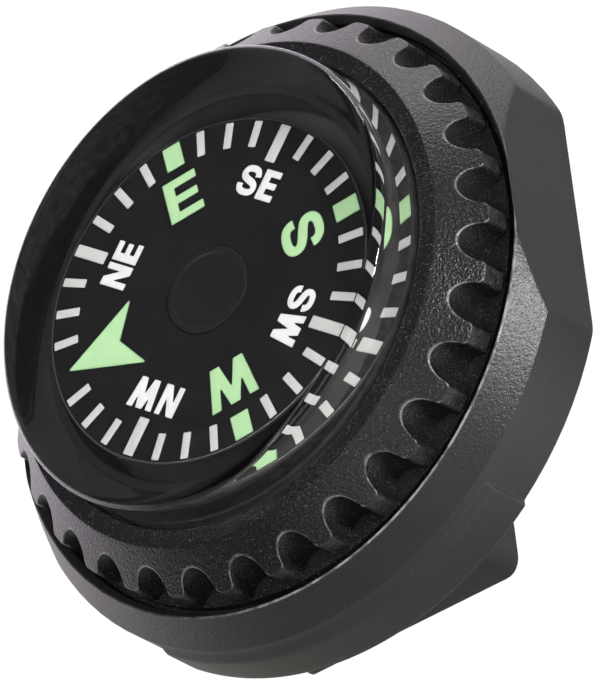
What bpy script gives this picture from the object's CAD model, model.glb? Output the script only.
import math

import bmesh
import bpy
import numpy as np
from mathutils import Matrix, Vector
from mathutils.geometry import tessellate_polygon


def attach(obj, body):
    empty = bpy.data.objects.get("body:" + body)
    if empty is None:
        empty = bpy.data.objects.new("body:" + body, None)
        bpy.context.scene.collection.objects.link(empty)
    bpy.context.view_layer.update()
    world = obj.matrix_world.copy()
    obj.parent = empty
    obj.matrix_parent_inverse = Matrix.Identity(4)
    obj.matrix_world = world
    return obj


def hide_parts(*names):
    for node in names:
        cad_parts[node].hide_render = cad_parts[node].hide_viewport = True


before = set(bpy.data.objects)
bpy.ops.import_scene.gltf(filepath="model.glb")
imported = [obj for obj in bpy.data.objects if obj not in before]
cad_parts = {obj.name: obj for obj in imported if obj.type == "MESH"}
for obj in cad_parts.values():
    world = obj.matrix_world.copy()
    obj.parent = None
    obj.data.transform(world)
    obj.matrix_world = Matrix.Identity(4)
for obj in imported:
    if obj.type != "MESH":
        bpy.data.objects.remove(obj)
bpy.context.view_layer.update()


scene = bpy.context.scene
scene.view_settings.view_transform = "Standard"
scene.view_settings.look = "None"

# ---------------------------------------------------------------------------
# shared sizes, in millimetres and degrees
# ---------------------------------------------------------------------------
MM = 0.001
BODY_Z = 3.2  # underside of the housing, where the strap loop meets it
BODY_FLOOR = 4.2  # floor of the housing's cavity
BODY_R = 14.0
FLAT_X = 12.95  # the housing's two flats, at -X and +X
PEG_X, PEG_Y = 3.5, 11.3  # the four pegs of the strap loop, and their holes
PEG_R, PEG_HOLE_R = 0.5, 0.54
PEG_SIDES = 32

CUP_R, CUP_INNER_R = 10.0, 8.8
LENS_TOP, LENS_UNDER = 12.45, 11.75

GRIPS = 30  # scallops around the bezel
GRIP_PHASE = -12.8
GRIP_R = 0.85  # radius of a scallop's round wall
GRIP_CENTRE = 12.45  # distance of that wall's centre from the axis
GRIP_FLOOR = 7.35

CARD_PIVOT = (-0.2, -0.2, 9.5)
LEAN = 11.0
HIGH_AZIMUTH, NORTH_AZIMUTH = 201.5, 188.2  # counter-clockwise from +X
CARD_TOP = 0.45  # above the pivot, in the card's own frame
CARD_R, CARD_HOLE_R, CARD_THICK = 7.75, 2.0, 0.25
PRINT_THICK = 0.03


# ---------------------------------------------------------------------------
# mesh helpers
# ---------------------------------------------------------------------------
def finish_mesh(mesh, sharp=38.0):
    bm = bmesh.new()
    bm.from_mesh(mesh)
    bmesh.ops.recalc_face_normals(bm, faces=bm.faces)
    bm.to_mesh(mesh)
    bm.free()
    mesh.shade_smooth()
    mesh.set_sharp_from_angle(angle=math.radians(sharp))
    mesh.update()


def add_object(name, verts, faces, sharp=38.0, slots=None):
    mesh = bpy.data.meshes.new(name)
    mesh.from_pydata([(x * MM, y * MM, z * MM) for x, y, z in verts], [], faces)
    mesh.validate()
    if slots is not None:
        mesh.polygons.foreach_set("material_index", slots)
    finish_mesh(mesh, sharp)
    ob = bpy.data.objects.new(name, mesh)
    scene.collection.objects.link(ob)
    return ob


def fillet(corners, segments=4, closed=False):
    """Corners are (x, y, radius). Returns the outline with each corner rounded."""
    outline = []
    count = len(corners)
    for i, (x, y, radius) in enumerate(corners):
        if radius <= 0 or (not closed and i in (0, count - 1)):
            outline.append((x, y))
            continue
        corner = np.array((x, y))
        before = np.array(corners[i - 1][:2]) - corner
        after = np.array(corners[(i + 1) % count][:2]) - corner
        len_before, len_after = np.linalg.norm(before), np.linalg.norm(after)
        before, after = before / len_before, after / len_after
        angle = math.acos(max(-1.0, min(1.0, float(before @ after))))
        if angle > math.pi - 0.02:
            outline.append((x, y))
            continue
        # the arc may use up just under half of either side
        setback = min(radius / math.tan(angle / 2), len_before * 0.49, len_after * 0.49)
        radius = setback * math.tan(angle / 2)
        middle = before + after
        centre = corner + middle / np.linalg.norm(middle) * (radius / math.sin(angle / 2))
        start = corner + before * setback - centre
        end = corner + after * setback - centre
        first = math.atan2(start[1], start[0])
        last = math.atan2(end[1], end[0])
        sweep = (last - first + math.pi) % (2 * math.pi) - math.pi
        for k in range(segments + 1):
            t = first + sweep * k / segments
            outline.append((centre[0] + radius * math.cos(t), centre[1] + radius * math.sin(t)))
    return outline


def grid_faces(rows, columns, closed, base=0):
    """Quads between rings of vertices; closed also joins the last ring to the first."""
    faces = []
    for i in range(rows if closed else rows - 1):
        this, above = base + i * columns, base + ((i + 1) % rows) * columns
        for j in range(columns):
            k = (j + 1) % columns
            faces.append((this + j, this + k, above + k, above + j))
    return faces


def solid_faces(rows, columns, base=0):
    """The faces of a stack of rings, with a flat face on both ends."""
    top = base + (rows - 1) * columns
    faces = grid_faces(rows, columns, False, base)
    faces.append(tuple(range(base + columns - 1, base - 1, -1)))
    faces.append(tuple(range(top, top + columns)))
    return faces


def close_on_axis(verts, faces, columns, first_z, last_z):
    """Fans the first and the last ring in to a point on the Z axis."""
    for start, z in ((0, first_z), (len(verts) - columns, last_z)):
        centre = len(verts)
        verts.append((0.0, 0.0, z))
        faces += [(centre, start + j, start + (j + 1) % columns) for j in range(columns)]


def lathe(name, outline, columns, closed=False, sharp=38.0, slot_of=None):
    """Turns an outline of (r, z) about Z. An open outline starts and ends on the axis."""
    rows = outline if closed else outline[1:-1]
    angles = np.arange(columns) * 2 * math.pi / columns
    verts = [(r * math.cos(t), r * math.sin(t), z) for r, z in rows for t in angles]
    faces = grid_faces(len(rows), columns, closed)
    if not closed:
        close_on_axis(verts, faces, columns, outline[0][1], outline[-1][1])
    slots = None
    if slot_of is not None:
        centres = [np.mean([verts[k] for k in face], axis=0) for face in faces]
        slots = [slot_of(math.hypot(x, y), z) for x, y, z in centres]
    return add_object(name, verts, faces, sharp, slots)


def prism(name, low, high):
    """A solid between two matching rings of points."""
    return add_object(name, low + high, solid_faces(2, len(low)))


def peg_solids(rings):
    """Four round pegs; rings are (radius, z) from the bottom up."""
    verts, faces = [], []
    angles = np.arange(PEG_SIDES) * 2 * math.pi / PEG_SIDES
    for x in (-PEG_X, PEG_X):
        for y in (-PEG_Y, PEG_Y):
            faces += solid_faces(len(rings), PEG_SIDES, base=len(verts))
            for r, z in rings:
                verts += [(x + r * math.cos(t), y + r * math.sin(t), z) for t in angles]
    return add_object("cutter", verts, faces)


def smooth_min(first, second, blend):
    overlap = np.maximum(blend - np.abs(first - second), 0) / blend
    return np.minimum(first, second) - overlap * overlap * blend / 4


def smooth_step(t):
    return t * t * (3 - 2 * t)


def apply_modifiers(ob):
    depsgraph = bpy.context.evaluated_depsgraph_get()
    mesh = bpy.data.meshes.new_from_object(ob.evaluated_get(depsgraph))
    ob.modifiers.clear()
    old = ob.data
    ob.data = mesh
    bpy.data.meshes.remove(old)


def boolean(ob, cutter, operation):
    modifier = ob.modifiers.new("boolean", "BOOLEAN")
    modifier.operation = operation
    modifier.solver = "EXACT"
    modifier.object = cutter
    apply_modifiers(ob)
    bpy.data.objects.remove(cutter)


def tidy(ob, distance=1e-7):
    bm = bmesh.new()
    bm.from_mesh(ob.data)
    bmesh.ops.remove_doubles(bm, verts=bm.verts, dist=distance)
    bmesh.ops.dissolve_degenerate(bm, edges=bm.edges, dist=distance)
    bm.to_mesh(ob.data)
    bm.free()


def store_rim(ob, values):
    """Keeps how close each vertex is to an edge, for the materials to shade."""
    attribute = ob.data.attributes.new("rim", "FLOAT", "POINT")
    attribute.data.foreach_set("value", np.array(values, np.float32))


# ---------------------------------------------------------------------------
# node helpers
# ---------------------------------------------------------------------------
NOISE_SPAN = (0.3, 0.7)  # the range that holds most values of a noise


class Graph:
    """A node tree with short calls for the nodes used here."""

    def __init__(self, tree, output_kind):
        self.tree = tree
        tree.nodes.clear()
        self.output = self.node(output_kind)

    def put(self, socket, value):
        if isinstance(value, bpy.types.NodeSocket):
            self.tree.links.new(value, socket)
        else:
            socket.default_value = value

    def node(self, kind, inputs=None, **props):
        """Inputs maps a socket's name or number to a value or to another node's output."""
        made = self.tree.nodes.new(kind)
        for key, value in props.items():
            setattr(made, key, value)
        for key, value in (inputs or {}).items():
            self.put(made.inputs[key], value)
        return made

    def surface(self, socket):
        self.put(self.output.inputs[0], socket)

    def math(self, operation, a, b=0.0):
        return self.node("ShaderNodeMath", {0: a, 1: b}, operation=operation).outputs[0]

    def add(self, a, b):
        return self.math("ADD", a, b)

    def multiply(self, a, b):
        return self.math("MULTIPLY", a, b)

    def ramp(self, value, stops):
        """Stops are (position, (red, green, blue))."""
        made = self.node("ShaderNodeValToRGB", {0: value})
        elements = made.color_ramp.elements
        while len(elements) < len(stops):
            elements.new(0.5)
        for element, (position, colour) in zip(elements, stops):
            element.position = position
            element.color = (*colour, 1.0)
        return made.outputs[0]

    def shades(self, value, dark, light, span=NOISE_SPAN):
        return self.ramp(value, [(span[0], dark), (span[1], light)])

    def remap(self, value, span=NOISE_SPAN, to=(0.0, 1.0)):
        """Maps the span linearly onto another, clamped at both ends."""
        limits = {1: span[0], 2: span[1], 3: to[0], 4: to[1]}
        return self.node("ShaderNodeMapRange", {0: value, **limits}).outputs[0]

    def mix(self, factor, a, b):
        inputs = {0: factor, 6: a, 7: b}
        return self.node("ShaderNodeMix", inputs, data_type="RGBA").outputs[2]

    def mix_shader(self, factor, a, b):
        return self.node("ShaderNodeMixShader", {0: factor, 1: a, 2: b}).outputs[0]

    def xyz(self, vector):
        return self.node("ShaderNodeSeparateXYZ", {0: vector}).outputs


class Material(Graph):
    """A material whose textures are laid out in the object's own millimetres."""

    def __init__(self, name, principled=True):
        self.data = bpy.data.materials.new(name)
        self.data.use_nodes = True
        super().__init__(self.data.node_tree, "ShaderNodeOutputMaterial")
        if principled:
            self.bsdf = self.node("ShaderNodeBsdfPrincipled")
            self.surface(self.bsdf.outputs[0])
        metres = self.node("ShaderNodeTexCoord").outputs["Object"]
        scaled = self.node("ShaderNodeVectorMath", {0: metres, "Scale": 1 / MM}, operation="SCALE")
        self.mm = scaled.outputs[0]

    def set(self, **values):
        """Sets inputs of the principled shader, with _ for each space in a name."""
        for key, value in values.items():
            self.put(self.bsdf.inputs[key.replace("_", " ")], value)

    def noise(self, scale, detail=2.0, roughness=0.5, distortion=0.0, vector=None):
        inputs = {"Vector": vector or self.mm, "Scale": scale, "Detail": detail,
                  "Roughness": roughness, "Distortion": distortion}
        return self.node("ShaderNodeTexNoise", inputs).outputs[0]

    def voronoi(self, scale, smoothness=None):
        inputs = {"Vector": self.mm, "Scale": scale}
        feature = "F1"
        if smoothness is not None:
            feature = "SMOOTH_F1"
            inputs["Smoothness"] = smoothness
        return self.node("ShaderNodeTexVoronoi", inputs, feature=feature).outputs["Distance"]

    def bump(self, height, depth, strength=1.0):
        """Depth is in millimetres."""
        inputs = {"Strength": strength, "Distance": depth * MM, "Height": height}
        return self.node("ShaderNodeBump", inputs).outputs[0]

    def position(self):
        return self.xyz(self.mm)

    def radius(self):
        x, y, _ = self.position()
        return self.math("SQRT", self.add(self.multiply(x, x), self.multiply(y, y)))

    def rim(self):
        return self.node("ShaderNodeAttribute", attribute_name="rim").outputs["Fac"]

    def finish(self, grain, dark, light, roughness, depth=None, span=NOISE_SPAN, **more):
        """One grain drives the colour, the relief and, for a pair, the roughness."""
        self.set(Base_Color=self.shades(grain, dark, light, span))
        if isinstance(roughness, tuple):
            roughness = self.remap(grain, to=roughness)
        self.set(Roughness=roughness, **more)
        if depth is not None:
            self.set(Normal=self.bump(grain, depth))
        return self


def give(ob, *materials):
    """Fills the material slots and keeps each face's slot number."""
    mesh = ob.data
    slots = [0] * len(mesh.polygons)
    mesh.polygons.foreach_get("material_index", slots)
    mesh.materials.clear()
    for material in materials:
        mesh.materials.append(material.data)
    if len(materials) > 1:
        mesh.polygons.foreach_set("material_index", slots)


def hand_over(ob, *materials, rides, node, slot):
    """Gives the materials and says what the object moves with and stands in for."""
    give(ob, *materials)
    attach(ob, rides)
    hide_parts(node)


# ---------------------------------------------------------------------------
# materials
# ---------------------------------------------------------------------------
def moulded_plastic(name, roughness, grain, fine, depth, wear=None):
    """Spark-eroded black plastic: a coarse cell on a fine grain, with an optional worn edge."""
    base, tint = 0.0135, (1.0, 0.965, 0.985)
    cell_share = 0.2
    worn_colour = (0.19, 0.186, 0.18, 1)
    m = Material(name)
    colour = m.shades(
        m.noise(scale=0.35, detail=3.0),
        dark=tuple(base * 0.9 * t for t in tint),
        light=tuple(base * 1.12 * t for t in tint),
    )
    cells = m.remap(m.voronoi(scale=grain, smoothness=0.6), (0.0, 0.75))
    big = m.noise(scale=grain * 0.62, detail=3.0, roughness=0.6, distortion=0.15)
    small = m.noise(scale=fine, detail=2.0, roughness=0.6)
    height = m.add(m.multiply(cells, cell_share), m.multiply(big, 1.0 - cell_share * 0.5))
    height = m.add(height, m.multiply(small, 0.55))
    sheen = m.remap(small, (0.25, 0.75), to=(roughness - 0.05, roughness + 0.07))
    if wear is not None:
        worn = wear(m)
        colour = m.mix(worn, colour, worn_colour)
        sheen = m.math("SUBTRACT", sheen, m.multiply(worn, 0.1))
    m.set(Base_Color=colour, Roughness=sheen, Normal=m.bump(height, depth))
    return m


def collar_wear(m):
    """The thin top edge of the collar, rubbed brighter on one side by the turning bezel."""
    radius = m.radius()
    x, y, z = m.position()
    inner_fade = m.remap(radius, (13.0, 13.03))
    outer_fade = m.remap(radius, (13.10, 13.13), to=(1.0, 0.0))
    edge = m.multiply(inner_fade, outer_fade)
    edge = m.multiply(edge, m.remap(z, (7.58, 7.62)))
    # the rubbed side faces +X and -Y
    along = m.add(m.multiply(x, 0.6), m.multiply(y, -0.8))
    edge = m.multiply(edge, m.remap(along, (5.0, 11.0), to=(0.08, 1.0)))
    patches = m.remap(m.noise(scale=1.6, detail=3.0), (0.4, 0.58), to=(0.25, 1.0))
    return m.multiply(edge, patches)


def bezel_plastic():
    """Leather-grained black with bright specks, rubbed scallop rims and a polished lip."""
    speck_colour = (0.10, 0.101, 0.105, 1)
    rubbed_colour = (0.15, 0.148, 0.15, 1)
    m = Material("bezel_plastic_leather")
    broad = m.noise(scale=0.4, detail=3.0)
    colour = m.shades(broad, dark=(0.0056, 0.0049, 0.0056), light=(0.0082, 0.0072, 0.0083))
    cells = m.remap(m.voronoi(scale=8.5, smoothness=0.5), (0.0, 0.8))
    wrinkle = m.noise(scale=6.0, detail=3.0, roughness=0.55)
    small = m.noise(scale=15.0, detail=2.0, roughness=0.6)
    height = m.add(m.multiply(cells, 0.4), m.multiply(wrinkle, 0.6))
    height = m.add(height, m.multiply(small, 0.5))
    specks = m.remap(m.noise(scale=17.0, detail=1.0), (0.64, 0.75), to=(0.0, 0.8))
    colour = m.mix(specks, colour, speck_colour)
    # the rims of the scallops are rubbed brighter
    patches = m.remap(m.noise(scale=2.1, detail=3.0), (0.38, 0.56), to=(0.2, 0.9))
    colour = m.mix(m.multiply(m.rim(), patches), colour, rubbed_colour)
    # the flat lip is polished, the flank is grained
    within = m.remap(m.radius(), (10.78, 10.98), to=(1.0, 0.0))
    lip = m.multiply(within, m.remap(m.position()[2], (9.9, 10.05)))
    grained = m.remap(lip, (0.0, 1.0), to=(1.0, 0.22))
    sheen = m.remap(small, (0.25, 0.75), to=(0.25, 0.33))
    m.set(
        Base_Color=colour,
        Roughness=m.add(sheen, m.multiply(lip, -0.03)),
        Normal=m.bump(height, depth=0.029, strength=grained),
        Specular_IOR_Level=0.38,
    )
    return m


def ink(name, colour, edge):
    """Printed ink: slightly uneven, darker where it thins out at its outline."""
    m = Material(name)
    uneven = m.remap(m.noise(scale=3.0, detail=4.0, roughness=0.6))
    fine = m.noise(scale=18.0, detail=3.0, roughness=0.6)
    body = m.mix(uneven, (*[c * 0.94 for c in colour], 1), (*colour, 1))
    thin = m.multiply(m.math("POWER", m.rim(), 1.4), 0.75)
    m.set(
        Base_Color=m.mix(thin, body, (*edge, 1)),
        Roughness=m.remap(fine, to=(0.50, 0.63)),
        Normal=m.bump(fine, depth=0.004),
    )
    return m


def card_black():
    """Black lacquer with a few pale specks of dust."""
    dust_colour = (0.30, 0.31, 0.30, 1)
    m = Material("card_black_lacquer")
    broad = m.noise(scale=1.2, detail=4.0, roughness=0.6)
    fine = m.noise(scale=14.0, detail=2.0)
    dust = m.remap(m.voronoi(scale=2.3), (0.0, 0.035), to=(1.0, 0.0))
    patches = m.remap(m.noise(scale=0.9, detail=1.0), (0.52, 0.6))
    specks = m.multiply(m.multiply(dust, patches), 0.35)
    lacquer = m.shades(
        broad, dark=(0.0046, 0.0042, 0.0046), light=(0.0068, 0.0062, 0.0068), span=(0.35, 0.65)
    )
    m.set(
        Base_Color=m.mix(specks, lacquer, dust_colour),
        Roughness=m.remap(fine, to=(0.42, 0.55)),
        Normal=m.bump(fine, depth=0.002),
        Specular_IOR_Level=0.06,
    )
    return m


def pale_edge():
    m = Material("card_cut_edge")
    grain = m.noise(scale=12.0, detail=3.0)
    return m.finish(grain, dark=(0.020, 0.020, 0.019), light=(0.034, 0.034, 0.033),
                    roughness=0.4, depth=0.003)


def hub_black():
    m = Material("hub_moulded")
    grain = m.noise(scale=10.0, detail=3.0)
    return m.finish(grain, dark=(0.0048, 0.0044, 0.0042), light=(0.0068, 0.0062, 0.006),
                    roughness=(0.36, 0.46), depth=0.003, Specular_IOR_Level=0.14)


def capsule_black():
    """Black that is paler below the top of the standing rim."""
    rim_colour = (0.0125, 0.012, 0.0125, 1)
    m = Material("capsule_black_gloss")
    broad = m.noise(scale=0.6, detail=3.0)
    fine = m.noise(scale=16.0, detail=2.0)
    low = m.shades(broad, dark=(0.030, 0.0288, 0.030), light=(0.040, 0.0385, 0.040))
    top = m.remap(m.position()[2], (9.2, 9.45))
    m.set(
        Base_Color=m.mix(top, low, rim_colour),
        Roughness=m.remap(fine, to=(0.5, 0.6)),
        Normal=m.bump(fine, depth=0.002),
        Specular_IOR_Level=0.05,
    )
    return m


def acrylic():
    """Clear moulded acrylic. Lamps reach through it, so what is inside is lit."""
    m = Material("clear_acrylic_outer", principled=False)
    scratch = m.noise(scale=2.2, detail=5.0, roughness=0.7)
    glass = m.node("ShaderNodeBsdfGlass", {
        "IOR": 1.42,
        "Color": (0.975, 0.985, 0.985, 1),
        "Roughness": 0.0,
        "Normal": m.bump(m.noise(scale=0.22, detail=2.0), depth=0.004),
    })
    clear = m.node("ShaderNodeBsdfTransparent", {"Color": (0.96, 0.97, 0.97, 1)})
    rays = m.node("ShaderNodeLightPath").outputs
    lighting = m.math("MAXIMUM", rays["Is Shadow Ray"], rays["Is Diffuse Ray"])
    # the side wall is faintly scuffed by handling
    scuff = m.node("ShaderNodeBsdfDiffuse", {"Color": (0.80, 0.775, 0.75, 1)})
    wall = m.multiply(m.remap(m.radius(), (9.93, 9.98)), m.remap(m.position()[2], (12.0, 11.8)))
    worn = m.multiply(wall, m.remap(scratch, (0.35, 0.7), to=(0.008, 0.03)))
    face = m.mix_shader(worn, glass.outputs[0], scuff.outputs[0])
    m.surface(m.mix_shader(lighting, face, clear.outputs[0]))
    return m


def wetted():
    """The inside of the cup, where the liquid has the acrylic's own index, so nothing bends."""
    m = Material("acrylic_in_liquid", principled=False)
    tint = m.shades(
        m.noise(scale=0.5, detail=2.0),
        dark=(0.985, 0.99, 0.99), light=(0.995, 0.998, 0.998), span=(0.0, 1.0),
    )
    m.surface(m.node("ShaderNodeBsdfTransparent", {"Color": tint}).outputs[0])
    return m


def rubber():
    m = Material("black_rubber")
    grain = m.noise(scale=12.0, detail=3.0)
    return m.finish(grain, dark=(0.012, 0.012, 0.012), light=(0.02, 0.02, 0.02),
                    roughness=(0.62, 0.78), depth=0.006)


def foam():
    m = Material("grey_foam")
    return m.finish(m.voronoi(scale=7.0), dark=(0.05, 0.05, 0.05), light=(0.11, 0.11, 0.11),
                    span=(0.0, 0.6), roughness=0.9, depth=0.05)


def ruby():
    m = Material("synthetic_ruby")
    grain = m.noise(scale=2.0, detail=2.0)
    return m.finish(grain, dark=(0.42, 0.02, 0.07), light=(0.55, 0.04, 0.1),
                    roughness=0.08, IOR=1.76, Coat_Weight=0.5)


def metal(name, colour, roughness, stretch=(1.0, 1.0, 14.0)):
    """Stretch squeezes the grain along each axis."""
    m = Material(name)
    vector = m.node("ShaderNodeVectorMath", {0: m.mm, 1: stretch}, operation="MULTIPLY").outputs[0]
    grain = m.noise(scale=6.0, detail=3.0, vector=vector)
    return m.finish(grain, dark=tuple(c * 0.9 for c in colour), light=colour,
                    roughness=(roughness - 0.05, roughness + 0.08), depth=0.003, Metallic=1.0)


HOUSING_PLASTIC = moulded_plastic(
    "housing_plastic_grain", roughness=0.31, grain=9.0, fine=17.0, depth=0.027, wear=collar_wear
)
LOOP_PLASTIC = moulded_plastic(
    "loop_plastic_grain", roughness=0.42, grain=7.0, fine=20.0, depth=0.022
)
BEZEL_PLASTIC = bezel_plastic()
WHITE_INK = ink("white_ink", colour=(0.52, 0.512, 0.50), edge=(0.33, 0.325, 0.32))
TICK_INK = ink("white_ink_thin", colour=(0.375, 0.365, 0.352), edge=(0.25, 0.245, 0.24))
GREEN_INK = ink("luminous_ink", colour=(0.295, 0.45, 0.237), edge=(0.09, 0.21, 0.09))
CARD_BLACK = card_black()
CARD_EDGE = pale_edge()
HUB_BLACK = hub_black()
CAPSULE_BLACK = capsule_black()
ACRYLIC = acrylic()
WETTED = wetted()
RUBBER = rubber()
FOAM = foam()
RUBY = ruby()
SPRING = metal("spring_steel_wire", colour=(0.56, 0.56, 0.57), roughness=0.28)
STEEL = metal("ground_steel", colour=(0.60, 0.61, 0.62), roughness=0.22)
MAGNET = metal(
    "sintered_magnet", colour=(0.16, 0.16, 0.17), roughness=0.5, stretch=(3.0, 3.0, 3.0)
)

# ---------------------------------------------------------------------------
# the turning bezel
# ---------------------------------------------------------------------------
# (r, z, corner radius), from the underside up the flank and over the lip
BEZEL_OUTER = [
    (12.0, 6.35, 0), (12.70, 6.35, 0.06), (12.70, 6.87, 0.04), (12.53, 6.92, 0.02),
    (12.51, 8.61, 0.13), (10.90, 10.15, 0.14), (10.16, 10.15, 0.08), (10.15, 9.6, 0),
]
# (r, z, corner radius), down the bore with its two grooves
BEZEL_INNER = [
    (10.15, 9.2, 0), (10.15, 8.75, 0.05), (11.10, 8.75, 0.04), (11.10, 8.40, 0.03),
    (11.31, 8.40, 0.04), (11.31, 7.70, 0.04), (11.10, 7.70, 0.03), (11.10, 7.25, 0.03),
    (11.43, 7.25, 0.04), (11.43, 6.70, 0.04), (11.10, 6.70, 0.03), (11.10, 6.35, 0.05),
    (11.6, 6.35, 0),
]
# heights of the rows through the scallops
GRIP_HEIGHTS = np.unique(np.round(np.concatenate([
    GRIP_FLOOR + np.array([-0.2, -0.05, -0.012]),
    GRIP_FLOOR + np.array([0.0, 0.02, 0.06, 0.14, 0.28, 0.45, 0.65, 0.85, 1.0, 1.12]),
    np.arange(8.50, 8.80, 0.02),
    np.arange(8.80, 9.26, 0.035),
    np.arange(9.26, 9.54, 0.018),
    np.arange(9.58, 10.0, 0.08),
]), 4))
# column places, as shares of the way across half a scallop and half the land beside it
SCALLOP_SHARES = np.array([0.0, 0.16, 0.32, 0.47, 0.61, 0.73, 0.83, 0.90, 0.95, 0.985])
LAND_SHARES = np.array([0.04, 0.09, 0.15, 0.23, 0.33, 0.46, 0.62, 0.80])
REST_ANGLE = 2.2  # half width of the scallop's columns where there is no scallop
LEAST_ANGLE = 0.9


def bezel_rows():
    """Rows of (r, z), with the scalloped stretch resampled by height, and the outer count."""
    outer = np.array(fillet(BEZEL_OUTER, segments=5))
    low = max(i for i, (r, z) in enumerate(outer) if z <= 6.94 and r > 12.0)
    high = min(i for i, (r, z) in enumerate(outer) if z >= 10.02 and r < 12.0)
    stretch = outer[low : high + 1]
    bottom, top = stretch[0][1] + 1e-4, stretch[-1][1] - 1e-3
    heights = GRIP_HEIGHTS[(GRIP_HEIGHTS > bottom) & (GRIP_HEIGHTS < top)]
    radii = np.interp(heights, stretch[:, 1], stretch[:, 0])
    rows = list(outer[: low + 1]) + list(zip(radii, heights)) + list(outer[high:])
    return rows + fillet(BEZEL_INNER, segments=3), len(rows)


def scallop_angle(r):
    """Half angle at which the scallop's round wall crosses that radius."""
    cosine = (r * r + GRIP_CENTRE**2 - GRIP_R**2) / (2 * GRIP_CENTRE * r)
    crosses = abs(cosine) < 1 and r > GRIP_CENTRE - GRIP_R
    return math.degrees(math.acos(cosine)) if crosses else 0.0


def bezel_columns(r, z, scalloped):
    """Angles across one scallop and its lands, in degrees from the scallop's middle."""
    half = 360 / GRIPS / 2
    edge = REST_ANGLE
    if scalloped:
        edge = scallop_angle(min(r, 12.52))
        if edge < LEAST_ANGLE:
            # ease the columns back to their rest spacing past the scallop's tip
            ease = min(max((z - 9.52) / 0.5, 0.0), 1.0)
            edge = LEAST_ANGLE + (REST_ANGLE - LEAST_ANGLE) * ease
    side = np.concatenate([edge * SCALLOP_SHARES, [edge], edge + (half - edge) * LAND_SHARES])
    return np.concatenate([[-half], -side[:0:-1], side])


def cut_scallop(r, z, degrees):
    """Radius and rim value in each column of a row that the scallop cuts."""
    land_r, corner_blend, slope_blend, rim_width = 12.54, 0.42, 0.07, 0.08
    x = GRIP_CENTRE * np.cos(np.radians(degrees))
    y = GRIP_CENTRE * np.sin(np.radians(degrees))
    cut = x - np.sqrt(np.maximum(GRIP_R**2 - y * y, 0))
    cut = np.where(np.abs(y) < GRIP_R, cut, x + (np.abs(y) - GRIP_R) * 2.4)
    # corners of the lands are rounded in plan, the edge along the slope is crisp
    plan = smooth_min(land_r, cut, corner_blend)
    strength = 1.0 if z > 8.64 else 0.12
    rim = np.maximum(rim_width - np.abs(r - plan), 0) / rim_width * strength
    return smooth_min(r, plan, slope_blend), rim


def make_bezel():
    rows, outer_count = bezel_rows()
    verts, rims = [], []
    for i, (r, z) in enumerate(rows):
        scalloped = i < outer_count and r > 10.95 and 6.86 <= z <= 10.2
        degrees = bezel_columns(r, z, scalloped)
        radii, rim = np.full(len(degrees), r), np.zeros(len(degrees))
        if scalloped and z >= GRIP_FLOOR - 1e-6:
            radii, rim = cut_scallop(r, z, degrees)
        for grip in range(GRIPS):
            middle = GRIP_PHASE + grip * 360 / GRIPS
            for radius, degree in zip(radii, degrees):
                t = math.radians(middle + degree)
                verts.append((radius * math.cos(t), radius * math.sin(t), z))
            rims.extend(rim)
    faces = grid_faces(len(rows), len(degrees) * GRIPS, True)
    ob = add_object("grip_bezel", verts, faces, sharp=42.0)
    store_rim(ob, rims)
    return ob


hand_over(make_bezel(), BEZEL_PLASTIC, rides="bezel", node="bezel_ring", slot="bezel_plastic")

# ---------------------------------------------------------------------------
# the housing
# ---------------------------------------------------------------------------
# (r, z, corner radius), from the underside's middle round to the cavity floor's middle
HOUSING_OUTLINE = [
    (0, BODY_Z, 0), (12.6, BODY_Z, 0), (13.99, BODY_Z, 0.16), (BODY_R, 6.2, 0.12),
    (13.09, 7.65, 0.05), (13.02, 7.65, 0.03), (12.76, 7.30, 0.10), (12.76, 6.3, 0.08),
    (11.0, 6.3, 0.08), (11.0, 6.77, 0.03), (10.68, 6.77, 0.03), (10.68, 7.18, 0.03),
    (11.0, 7.18, 0.03), (11.0, 7.75, 0.03), (10.70, 7.75, 0.04), (10.70, 8.35, 0.04),
    (11.0, 8.35, 0.03), (11.0, 8.6, 0.06), (10.05, 8.6, 0.06), (10.05, BODY_FLOOR, 0.06),
    (0, BODY_FLOOR, 0),
]
WALL_HEIGHTS = (3.7, 4.3, 4.9, 5.15, 5.25, 5.35, 5.45, 5.55, 5.65, 5.75, 5.84, 5.9, 6.0)
CONE_STEPS = 16
PAD_RISE = 0.2  # how far the two raised pads stand out of the wall
HALF_PAD_PLUS_Y, HALF_PAD_MINUS_Y = 32.0, 37.5  # half the angle each pad covers
PAD_EDGE = 0.45  # half the angle over which a pad's end rises
# column places, as shares across the flat and from the flat to the pad
FLAT_SHARES = np.array([0.0, 0.2, 0.4, 0.58, 0.74, 0.86, 0.93, 0.975, 1.0])
WALL_SHARES = np.array([0.02, 0.05, 0.1, 0.18, 0.3, 0.42, 0.54, 0.66, 0.78, 0.9, 1.0])
PAD_END_STEPS = np.array([-0.42, -0.28, -0.14, 0.0, 0.14, 0.28, 0.42, 0.6])
PAD_END_REACH = 0.6


def housing_rows():
    """Rows of (r, z), with extra ones up the outer wall and the cone, for pads and flats."""
    outline = fillet(HOUSING_OUTLINE)[1:-1]
    wall_low = max(i for i, (r, z) in enumerate(outline) if r > 13.9 and z < 3.6)
    wall_high = min(i for i, (r, z) in enumerate(outline) if z > 6.0)
    collar = min(i for i, (r, z) in enumerate(outline) if z > 7.5)
    cone_low = max(i for i in range(wall_high, collar + 1) if outline[i][1] < 6.6)
    (low_r, low_z), (high_r, high_z) = outline[wall_low], outline[wall_high]
    wall = [(float(np.interp(z, [low_z, high_z], [low_r, high_r])), z) for z in WALL_HEIGHTS]
    start, end = np.array(outline[cone_low]), np.array(outline[cone_low + 1])
    cone = [tuple(start + (end - start) * t) for t in np.linspace(0, 1, CONE_STEPS)[1:-1]]
    rows = outline[: wall_low + 1] + wall + outline[wall_high : cone_low + 1]
    return rows + cone + outline[cone_low + 1 :]


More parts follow.
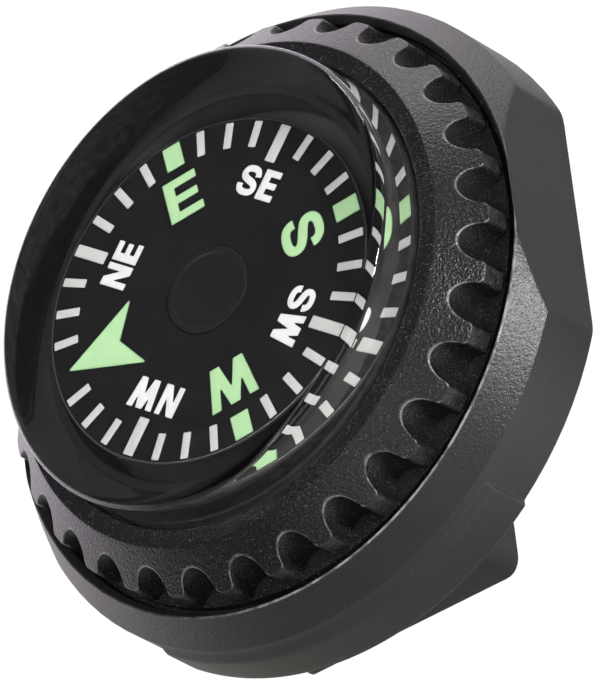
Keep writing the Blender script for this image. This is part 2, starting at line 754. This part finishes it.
def quarter_columns(flat_edge, half_pad):
    """Angles over one quarter, from the flat's middle to the pad's middle."""
    pad_end = 90 - half_pad
    return np.concatenate([
        flat_edge * FLAT_SHARES,
        flat_edge + (pad_end - PAD_END_REACH - flat_edge) * WALL_SHARES,
        pad_end + PAD_END_STEPS,
        (pad_end + PAD_END_REACH) + (90 - pad_end - PAD_END_REACH) * np.linspace(0, 1, 21)[1:],
    ])


def housing_columns(r, z):
    """Angles of one row in degrees, all the way round from +X."""
    flat_edge = 10.0
    if r > FLAT_X:
        # the collar's top rows share their columns, so they meet cleanly on the flats
        edge_r = 13.05 if z > 7.6 else r
        flat_edge = max(math.degrees(math.acos(FLAT_X / edge_r)), 4.5)
    plus_y = quarter_columns(flat_edge, HALF_PAD_PLUS_Y)
    minus_y = quarter_columns(flat_edge, HALF_PAD_MINUS_Y)
    return np.concatenate([plus_y, 180 - plus_y[-2::-1], 180 + minus_y[1:], 360 - minus_y[-2:0:-1]])


def raise_pads(r, z, degrees):
    """Radius in each column of a wall row, with the pads on the +Y and -Y sides."""
    fade = smooth_step(min(max((z - 5.15) / 0.75, 0.0), 1.0))
    pad_r = BODY_R + PAD_RISE - max(0.0, BODY_Z + 0.12 - z) - PAD_RISE * fade
    inside = np.maximum(
        HALF_PAD_PLUS_Y - np.abs(degrees - 90), HALF_PAD_MINUS_Y - np.abs(degrees - 270)
    )
    share = smooth_step(np.clip((inside + PAD_EDGE) / (2 * PAD_EDGE), 0, 1))
    if z > 3.5:
        return r + max(pad_r - r, 0.0) * share
    return r + PAD_RISE * share


def make_housing():
    rows = housing_rows()
    verts = []
    for r, z in rows:
        degrees = housing_columns(r, z)
        angles = np.radians(degrees)
        radii = np.full(len(degrees), r)
        if r > FLAT_X:
            if z < 6.0:
                radii = raise_pads(r, z, degrees)
            flat = FLAT_X / np.maximum(np.abs(np.cos(angles)), 1e-6)
            radii = smooth_min(radii, flat, 0.05)
        verts += [(q * math.cos(t), q * math.sin(t), z) for q, t in zip(radii, angles)]
    columns = len(degrees)
    faces = grid_faces(len(rows), columns, False)
    close_on_axis(verts, faces, columns, BODY_Z, BODY_FLOOR)
    ob = add_object("housing_body", verts, faces, sharp=40.0)
    holes = peg_solids([(PEG_HOLE_R, BODY_Z - 1), (PEG_HOLE_R, 5.3)])
    boolean(ob, holes, "DIFFERENCE")
    tidy(ob)
    finish_mesh(ob.data, sharp=40.0)
    return ob


hand_over(
    make_housing(), HOUSING_PLASTIC, rides="housing", node="housing", slot="housing_plastic"
)


# ---------------------------------------------------------------------------
# the strap loop
# ---------------------------------------------------------------------------
def make_loop():
    half_x, half_y = 5.65, 12.0
    slot_y, slot_floor = 10.6, 0.9
    foot_r, slot_r, upright_r = 0.38, 0.25, 1.0
    # the U seen along the strap, as (y, z, corner radius)
    section = fillet([
        (-half_y, BODY_Z, 0), (-half_y, 0.0, foot_r), (half_y, 0.0, foot_r), (half_y, BODY_Z, 0),
        (slot_y, BODY_Z, 0), (slot_y, slot_floor, slot_r), (-slot_y, slot_floor, slot_r),
        (-slot_y, BODY_Z, 0),
    ], segments=5, closed=True)
    ob = prism(
        "strap_loop_body", [(-half_x, y, z) for y, z in section], [(half_x, y, z) for y, z in section]
    )
    # a rounded block that trims the upright corners
    plan = fillet([
        (-half_x, -half_y, upright_r), (half_x, -half_y, upright_r),
        (half_x, half_y, upright_r), (-half_x, half_y, upright_r),
    ], segments=8, closed=True)
    block = prism("cutter", [(x, y, -1.0) for x, y in plan], [(x, y, 6.0) for x, y in plan])
    boolean(ob, block, "INTERSECT")
    pegs = peg_solids([(PEG_R, BODY_Z - 0.3), (PEG_R, 4.88), (PEG_R - 0.1, 5.0)])
    boolean(ob, pegs, "UNION")
    tidy(ob)
    bevel = ob.modifiers.new("edge", "BEVEL")
    bevel.width = 0.09 * MM
    bevel.segments = 3
    bevel.limit_method = "ANGLE"
    bevel.angle_limit = math.radians(50)
    bevel.use_clamp_overlap = True
    apply_modifiers(ob)
    tidy(ob)
    finish_mesh(ob.data, sharp=40.0)
    return ob


hand_over(make_loop(), LOOP_PLASTIC, rides="housing", node="strap_loop", slot="loop_plastic")


# ---------------------------------------------------------------------------
# the clear cup: only its outside bends light
# ---------------------------------------------------------------------------
def arc(centre_r, centre_z, radius, degrees):
    """Points of (r, z); degrees run counter-clockwise from outward."""
    angles = [math.radians(a) for a in degrees]
    return [(centre_r + radius * math.cos(a), centre_z + radius * math.sin(a)) for a in angles]


def cup_slot(r, z):
    """0 for the outer skin, 1 for the surfaces against the liquid."""
    top_edge = z > LENS_TOP - 0.5 and r > 8.9
    return 0 if top_edge or z > LENS_UNDER + 0.2 or r > CUP_R - 0.1 else 1


def make_cup():
    edge_r, inner_edge_r, foot = 0.45, 0.25, 5.4
    outline = (
        [(r, LENS_TOP) for r in (0.0, 2.0, 4.0, 6.0, 8.0, 9.0)]
        + arc(CUP_R - edge_r, LENS_TOP - edge_r, edge_r, range(90, -1, -6))
        + [(CUP_R, z) for z in (11.6, 10.6, 9.4, 8.2, 6.8, 5.46)]
        + [(CUP_R - 0.06, foot), (CUP_INNER_R + 0.04, foot), (CUP_INNER_R, foot + 0.04)]
        + [(CUP_INNER_R, z) for z in (7.0, 9.0, 11.0)]
        + arc(CUP_INNER_R - inner_edge_r, LENS_UNDER - inner_edge_r, inner_edge_r, range(0, 91, 10))
        + [(r, LENS_UNDER) for r in (7.0, 5.0, 3.0, 1.5, 0.0)]
    )
    return lathe("lens_cup", outline, 320, sharp=60, slot_of=cup_slot)


hand_over(
    make_cup(), ACRYLIC, WETTED, rides="housing", node="capsule_dome", slot="clear_acrylic"
)

# ---------------------------------------------------------------------------
# black capsule base with its standing rim, boss and pad recess
# ---------------------------------------------------------------------------
# (r, z, corner radius), from the boss's top outward and back under
BASE_OUTLINE = [
    (0, 7.6, 0), (1.2, 7.6, 0.1), (1.2, 6.6, 0.15), (8.26, 6.6, 0.2), (8.37, 9.5, 0.06),
    (8.77, 9.5, 0.06), (8.77, 6.32, 0.02), (8.14, 6.32, 0.05), (8.14, 5.70, 0.05),
    (8.77, 5.70, 0.02), (8.77, 5.41, 0.02), (9.98, 5.41, 0.05), (9.98, 4.6, 0.12),
    (3.02, 4.6, 0.05), (3.0, 4.6, 0.0), (0, 4.6, 0),
]
capsule_base = lathe("capsule_base_black", fillet(BASE_OUTLINE), 192, sharp=40)
hand_over(
    capsule_base, CAPSULE_BLACK, rides="housing", node="capsule_base", slot="capsule_black"
)


# ---------------------------------------------------------------------------
# the floating card, built in its own frame (+Y is north) and then leant over
# ---------------------------------------------------------------------------
def turn_z(degrees):
    return Matrix.Rotation(math.radians(degrees), 4, "Z")


CARD_FRAME = (
    Matrix.Translation(CARD_PIVOT)
    @ turn_z(HIGH_AZIMUTH - 90)
    @ Matrix.Rotation(math.radians(LEAN), 4, "X")
    @ turn_z(90 - HIGH_AZIMUTH)
    @ turn_z(NORTH_AZIMUTH - 90)
)
CARD_FRAME.translation = CARD_FRAME.translation * MM


def on_card(ob):
    ob.data.transform(CARD_FRAME)
    ob.data.update()
    return ob


def card_slot(r, z):
    """1 for the pale cut edge, 0 elsewhere."""
    return 1 if r > CARD_R - 0.065 and z > CARD_TOP - 0.2 else 0


CARD_UNDER = CARD_TOP - CARD_THICK
# both outlines are (r, z, corner radius)
DISC_OUTLINE = [
    (CARD_HOLE_R, CARD_TOP, 0.03), (CARD_R, CARD_TOP, 0.07),
    (CARD_R, CARD_UNDER, 0.05), (CARD_HOLE_R, CARD_UNDER, 0.03),
]
HUB_OUTLINE = [
    (0, 0.46, 0), (1.62, 0.46, 0.08), (1.72, 0.50, 0.05), (1.98, 0.50, 0.06),
    (1.98, -0.85, 0.05), (0.8, -0.85, 0.05), (0.8, 0.20, 0.05), (0, 0.20, 0),
]
disc = lathe("dial_card", fillet(DISC_OUTLINE, closed=True), 320, closed=True, sharp=50,
             slot_of=card_slot)
hand_over(on_card(disc), CARD_BLACK, CARD_EDGE, rides="card", node="card_disc", slot="card_black")
hub = lathe("dial_hub", fillet(HUB_OUTLINE), 128, sharp=40)
hand_over(on_card(hub), HUB_BLACK, rides="card", node="card_hub", slot="card_black")


# ---------------------------------------------------------------------------
# print on the card
# ---------------------------------------------------------------------------
def signed_area(poly):
    pairs = [(poly[i - 1], poly[i]) for i in range(len(poly))]
    return 0.5 * sum(a[0] * b[1] - b[0] * a[1] for a, b in pairs)


def shrink(poly, distance):
    """The outline moved inward, with long mitres held back."""
    count = len(poly)
    moved = []
    for i in range(count):
        before, here, after = (np.array(poly[j % count]) for j in (i - 1, i, i + 1))
        arrive, leave = here - before, after - here
        arrive = arrive / max(np.linalg.norm(arrive), 1e-9)
        leave = leave / max(np.linalg.norm(leave), 1e-9)
        normal = np.array((-arrive[1], arrive[0]))
        both = normal + np.array((-leave[1], leave[0]))
        moved.append(tuple(here + both * (distance / max(float(both @ normal), 0.55))))
    return moved


def triangles(poly):
    return tessellate_polygon([[Vector((x, y, 0)) for x, y in poly]])


def print_mesh(name, outlines, inset):
    """Thin ink bodies from outlines in the card's frame, each with a ring to shade its edge."""
    verts, faces, rims = [], [], []
    top = CARD_TOP + PRINT_THICK
    for poly in outlines:
        if signed_area(poly) < 0:
            poly = poly[::-1]
        count = len(poly)
        inner = shrink(poly, inset)
        low = len(verts)
        middle, high = low + count, low + 2 * count
        verts += [(x, y, CARD_TOP) for x, y in poly]
        verts += [(x, y, top - 0.012) for x, y in poly]
        verts += [(x, y, top) for x, y in inner]
        rims += [1.0] * (2 * count) + [0.0] * count
        for k in range(count):
            j = (k + 1) % count
            faces.append((low + k, low + j, middle + j, middle + k))
            faces.append((middle + k, middle + j, high + j, high + k))
        faces += [tuple(high + k for k in triangle) for triangle in triangles(inner)]
        faces += [tuple(low + k for k in reversed(triangle)) for triangle in triangles(poly)]
    ob = add_object(name, verts, faces, sharp=50)
    store_rim(ob, rims)
    return on_card(ob)


def turned(poly, bearing):
    """Turns an outline clockwise from north."""
    angle = math.radians(-bearing)
    cosine, sine = math.cos(angle), math.sin(angle)
    return [(x * cosine - y * sine, x * sine + y * cosine) for x, y in poly]


def rounded(poly, radius):
    return fillet([(x, y, radius) for x, y in poly], segments=3, closed=True)


def bar(bearing, inner, outer, width):
    half = width / 2
    return turned(rounded([(-half, inner), (half, inner), (half, outer), (-half, outer)], 0.045),
                  bearing)


# Each glyph fills a box from (0, 0) to (wide, high); pen is the width of its strokes.
def glyph_e(high, wide, pen):
    spine, reach = pen * 1.25, wide * 0.93
    low, up = high / 2 - pen * 0.48, high / 2 + pen * 0.48
    return rounded([
        (0, 0), (wide, 0), (wide, pen), (spine, pen), (spine, low), (reach, low), (reach, up),
        (spine, up), (spine, high - pen), (wide * 0.97, high - pen), (wide * 0.97, high), (0, high),
    ], pen * 0.1)


def glyph_n(high, wide, pen):
    foot = pen * 1.25
    rise = pen / (wide - foot)
    return rounded([
        (0, 0), (pen, 0), (pen, high * (1 - rise)), (wide - foot, 0), (wide, 0), (wide, high),
        (wide - pen, high), (wide - pen, high * rise), (foot, high), (0, high),
    ], pen * 0.08)


def glyph_w(high, wide, pen):
    quarter, foot = wide / 4, pen * 1.12
    half = foot / 2
    # where the inner sides of a V meet
    share = (2 * quarter - 1.5 * foot) / (2 * quarter - 0.5 * foot)
    notch_x, notch_y = 2 * quarter - half - quarter * share, high * (1 - share)
    return rounded([
        (0, high), (quarter - half, 0), (quarter + half, 0),
        (2 * quarter, high * (1 - foot / (2 * quarter))),
        (3 * quarter - half, 0), (3 * quarter + half, 0), (wide, high), (wide - foot, high),
        (wide - notch_x, notch_y), (2 * quarter + half, high), (2 * quarter - half, high),
        (notch_x, notch_y), (foot, high),
    ], pen * 0.08)


# (x, y) down the middle of the stroke of the S, from -1 to 1 both ways
S_LINE = [
    (1.0, 0.40), (0.93, 0.66), (0.66, 0.90), (0.30, 0.99), (-0.04, 1.0), (-0.46, 0.96),
    (-0.80, 0.79), (-0.92, 0.52), (-0.80, 0.27), (-0.42, 0.11), (0.02, 0.0), (0.48, -0.12),
    (0.86, -0.30), (0.98, -0.56), (0.84, -0.82), (0.46, -0.97), (0.0, -1.0), (-0.40, -0.97),
    (-0.76, -0.85), (-0.96, -0.62), (-1.0, -0.36),
]


def glyph_s(high, wide, pen):
    knots = np.array(S_LINE) * np.array([(wide - pen) / 2, (high - pen) / 2])
    knots = np.vstack([2 * knots[0] - knots[1], knots, 2 * knots[-1] - knots[-2]])
    line = []
    # a Catmull-Rom curve through the knots, four steps to a span
    for i in range(1, len(knots) - 2):
        a, b, c, d = knots[i - 1 : i + 3]
        for t in np.linspace(0, 1, 5)[: 5 if i == len(knots) - 3 else 4]:
            square, cube = 2 * a - 5 * b + 4 * c - d, 3 * b - a - 3 * c + d
            line.append(0.5 * ((2 * b) + (c - a) * t + square * t * t + cube * t**3))
    line = np.array(line)
    along = np.gradient(line, axis=0)
    along /= np.linalg.norm(along, axis=1)[:, None]
    normal = np.stack([-along[:, 1], along[:, 0]], 1)
    # the stroke swells a little at mid height
    swell = 1.0 + 0.08 * np.exp(-((line[:, 1] / (high * 0.2)) ** 2))
    offset = normal * (pen / 2 * swell)[:, None]
    points = list(line + offset) + list((line - offset)[::-1])
    return [(x + wide / 2, y + high / 2) for x, y in points]


def letter(glyph, high, width_share, pen_share, bearing, radius, shift=0.0):
    """A letter centred at that radius; shift slides it clockwise, shares are of its height."""
    wide = high * width_share
    points = glyph(high, wide, high * pen_share)
    return turned([(x - wide / 2 + shift, y - high / 2 + radius) for x, y in points], bearing)


TICKS = 32
TICK_INNER, LONG_TICK_INNER, TICK_OUTER = 6.42, 5.9, 7.6
BIG_HIGH, PAIR_HIGH, PAIR_PEN, PAIR_RADIUS = 2.06, 1.36, 0.215, 4.92
# glyph, width share, pen share, bearing, radius
BIG_LETTERS = [
    (glyph_e, 0.82, 0.2, 90, 4.92), (glyph_s, 0.84, 0.215, 180, 4.82),
    (glyph_w, 1.14, 0.2, 270, 4.82),
]
PAIR_WIDTHS = {glyph_n: 0.76, glyph_e: 0.66, glyph_s: 0.78, glyph_w: 1.04}
# glyph, bearing, shift
PAIR_LETTERS = [
    (glyph_n, 45, -0.57), (glyph_e, 45, 0.52), (glyph_s, 135, -0.55), (glyph_e, 135, 0.57),
    (glyph_s, 225, -0.78), (glyph_w, 225, 0.58), (glyph_n, 315, -0.82), (glyph_w, 315, 0.60),
]


def white_ticks():
    """Every point but the four main ones, with the four between those longer and wider."""
    bars = []
    for i in range(TICKS):
        if i % 8 == 0:
            continue
        inner, width = (LONG_TICK_INNER, 0.54) if i % 4 == 0 else (TICK_INNER, 0.38)
        bars.append(bar(i * 360 / TICKS, inner, TICK_OUTER, width))
    return bars


green_ticks = [bar(bearing, TICK_INNER, TICK_OUTER, 0.88) for bearing in (90, 180, 270)]
arrow = [rounded([(0, 7.1), (-1.66, 3.5), (0, 4.45), (1.66, 3.5)], 0.05)]
big_letters = [
    letter(glyph, BIG_HIGH, width, pen, bearing, radius)
    for glyph, width, pen, bearing, radius in BIG_LETTERS
]
pair_letters = [
    letter(glyph, PAIR_HIGH, PAIR_WIDTHS[glyph], PAIR_PEN, bearing, PAIR_RADIUS, shift)
    for glyph, bearing, shift in PAIR_LETTERS
]
# object name, outlines, inset of the rim ring, ink, node, slot
for name, outlines, inset, material, node, slot in (
    ("tick_marks_white", white_ticks(), 0.045, TICK_INK, "ticks_white", "white_print"),
    ("tick_marks_green", green_ticks, 0.07, GREEN_INK, "ticks_luminous", "luminous_print"),
    ("arrow_green", arrow, 0.07, GREEN_INK, "north_arrow", "luminous_print"),
    ("letters_green", big_letters, 0.06, GREEN_INK, "letters_luminous", "luminous_print"),
    ("letters_pairs_white", pair_letters, 0.035, WHITE_INK, "letters_white", "white_print"),
):
    hand_over(print_mesh(name, outlines, inset), material, rides="card", node=node, slot=slot)

# ---------------------------------------------------------------------------
# the hidden nodes keep their CAD shape
# ---------------------------------------------------------------------------
for node, material in (
    ("bezel_friction_ring", RUBBER), ("bezel_retaining_ring", SPRING), ("capsule_pad", FOAM),
    ("capsule_gasket", RUBBER), ("fill_plug", STEEL), ("pivot_needle", STEEL),
    ("jewel_cup", RUBY), ("card_magnet", MAGNET),
):
    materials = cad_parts[node].data.materials
    if materials:
        for k in range(len(materials)):
            materials[k] = material.data
    else:
        materials.append(material.data)


# ---------------------------------------------------------------------------
# floor and world
# ---------------------------------------------------------------------------
def floor_material():
    """White to the camera; to the object, bright towards -X +Y and dim on the other side."""
    camera_white = (1.05, 1.05, 1.05, 1)
    # glow across the floor: (share of the way across, colour)
    glow_stops = [
        (0.0, (0.60, 0.575, 0.555)), (0.35, (0.40, 0.39, 0.36)), (0.48, (0.46, 0.446, 0.43)),
        (0.86, (1.18, 1.09, 1.18)), (1.0, (1.95, 1.81, 1.97)),
    ]
    m = Material("pale_floor")
    x, y, _ = m.position()
    away = m.add(m.multiply(x, -0.55), m.multiply(y, 0.83))
    glow = m.ramp(m.remap(away, (-26.0, 26.0)), glow_stops)
    # a brighter patch in the +X -Y corner
    past_x = m.remap(x, (8.0, 14.0), to=(0.0, 1.1))
    corner = m.multiply(past_x, m.remap(y, (-10.0, -6.0), to=(1.0, 0.0)))
    lift = {0: glow, "Scale": m.add(corner, 1.0)}
    glow = m.node("ShaderNodeVectorMath", lift, operation="SCALE").outputs[0]
    camera_ray = m.node("ShaderNodeLightPath").outputs["Is Camera Ray"]
    m.set(
        Base_Color=(0.0, 0.0, 0.0, 1.0),
        Roughness=1.0,
        Specular_IOR_Level=0.0,
        Emission_Color=m.mix(m.math("MAXIMUM", camera_ray, 0.0), glow, camera_white),
        Emission_Strength=1.0,
    )
    # seen from below, the floor lets the camera through to the underside
    under = m.node("ShaderNodeNewGeometry").outputs["Backfacing"]
    through = m.node("ShaderNodeBsdfTransparent").outputs[0]
    m.surface(m.mix_shader(m.multiply(under, camera_ray), m.bsdf.outputs[0], through))
    return m


def make_floor():
    half, z = 3.0, -2e-5  # metres
    mesh = bpy.data.meshes.new("floor")
    corners = [(-half, -half, z), (half, -half, z), (half, half, z), (-half, half, z)]
    mesh.from_pydata(corners, [], [(0, 1, 2, 3)])
    ob = bpy.data.objects.new("floor", mesh)
    scene.collection.objects.link(ob)
    return ob


floor = make_floor()
give(floor, floor_material())


def make_world():
    """White to the camera; otherwise bright at the horizon and brightest towards +Y."""
    # (upward part of the direction, brightness)
    sky_stops = [(0.0, 1.0), (0.08, 0.9), (0.15, 0.25), (0.23, 0.05), (1.0, 0.045)]
    bright_side = (-0.12, 0.99, 0.0)
    camera_strength = 1.05
    world = bpy.data.worlds.new("studio")
    scene.world = world
    world.use_nodes = True
    graph = Graph(world.node_tree, "ShaderNodeOutputWorld")
    direction = graph.node("ShaderNodeTexCoord").outputs["Generated"]
    sky = graph.ramp(
        graph.xyz(direction)[2], [(up, (v, v * 0.955, v * 1.01)) for up, v in sky_stops]
    )
    facing = graph.node("ShaderNodeVectorMath", {0: direction, 1: bright_side},
                        operation="DOT_PRODUCT").outputs["Value"]
    side = graph.remap(facing, (-0.5, 0.95), to=(0.68, 2.6))
    camera_ray = graph.node("ShaderNodeLightPath").outputs["Is Camera Ray"]
    strength = graph.node("ShaderNodeMix", {0: camera_ray, 2: side, 3: camera_strength})
    background = graph.node("ShaderNodeBackground", {
        "Color": graph.mix(camera_ray, sky, (1, 1, 1, 1)),
        "Strength": strength.outputs[0],
    })
    graph.surface(background.outputs[0])


make_world()


# ---------------------------------------------------------------------------
# lights and camera, in metres
# ---------------------------------------------------------------------------
def softbox(name, azimuth, elevation, distance, width, height, power):
    """An area light at that direction from the object, aimed at it."""
    light = bpy.data.lights.new(name, "AREA")
    light.shape = "RECTANGLE"
    light.size, light.size_y = width, height
    light.energy = power
    ob = bpy.data.objects.new(name, light)
    scene.collection.objects.link(ob)
    turn, rise = math.radians(azimuth), math.radians(elevation)
    direction = Vector(
        (math.cos(rise) * math.cos(turn), math.cos(rise) * math.sin(turn), math.sin(rise))
    )
    ob.location = direction * distance + Vector((0, 0, 0.007))
    ob.rotation_euler = (-direction).to_track_quat("-Z", "Y").to_euler()
    ob.visible_camera = False
    return ob


# the overhead lamp lights the dial, but leaves no glare on the lens from above
overhead = softbox("key_overhead", azimuth=-70, elevation=78, distance=0.8,
                   width=0.5, height=0.5, power=9.0)
overhead.visible_glossy = False
softbox("side_strip", azimuth=-4, elevation=15.5, distance=0.9, width=0.18, height=0.09, power=9.0)
softbox("far_window", azimuth=69, elevation=16, distance=1.0, width=0.42, height=0.2, power=2.2)
softbox("front_fill", azimuth=-68, elevation=45, distance=1.0, width=0.85, height=0.45, power=1.7)


def make_camera():
    lens = bpy.data.cameras.new("camera")
    lens.sensor_fit = "AUTO"
    lens.sensor_width = 36.0
    lens.lens = 524.78
    lens.clip_start = 0.01
    lens.clip_end = 50.0
    ob = bpy.data.objects.new("camera", lens)
    scene.collection.objects.link(ob)
    # each row: the camera's right, up and backward axes, then its place
    ob.matrix_world = Matrix([
        [0.767681, 0.398635, 0.501753, 0.204727],
        [-0.105649, 0.850986, -0.514453, -0.210363],
        [-0.632064, 0.341926, 0.695401, 0.289041],
        [0, 0, 0, 1],
    ])
    scene.camera = ob


make_camera()

bpy.context.view_layer.update()
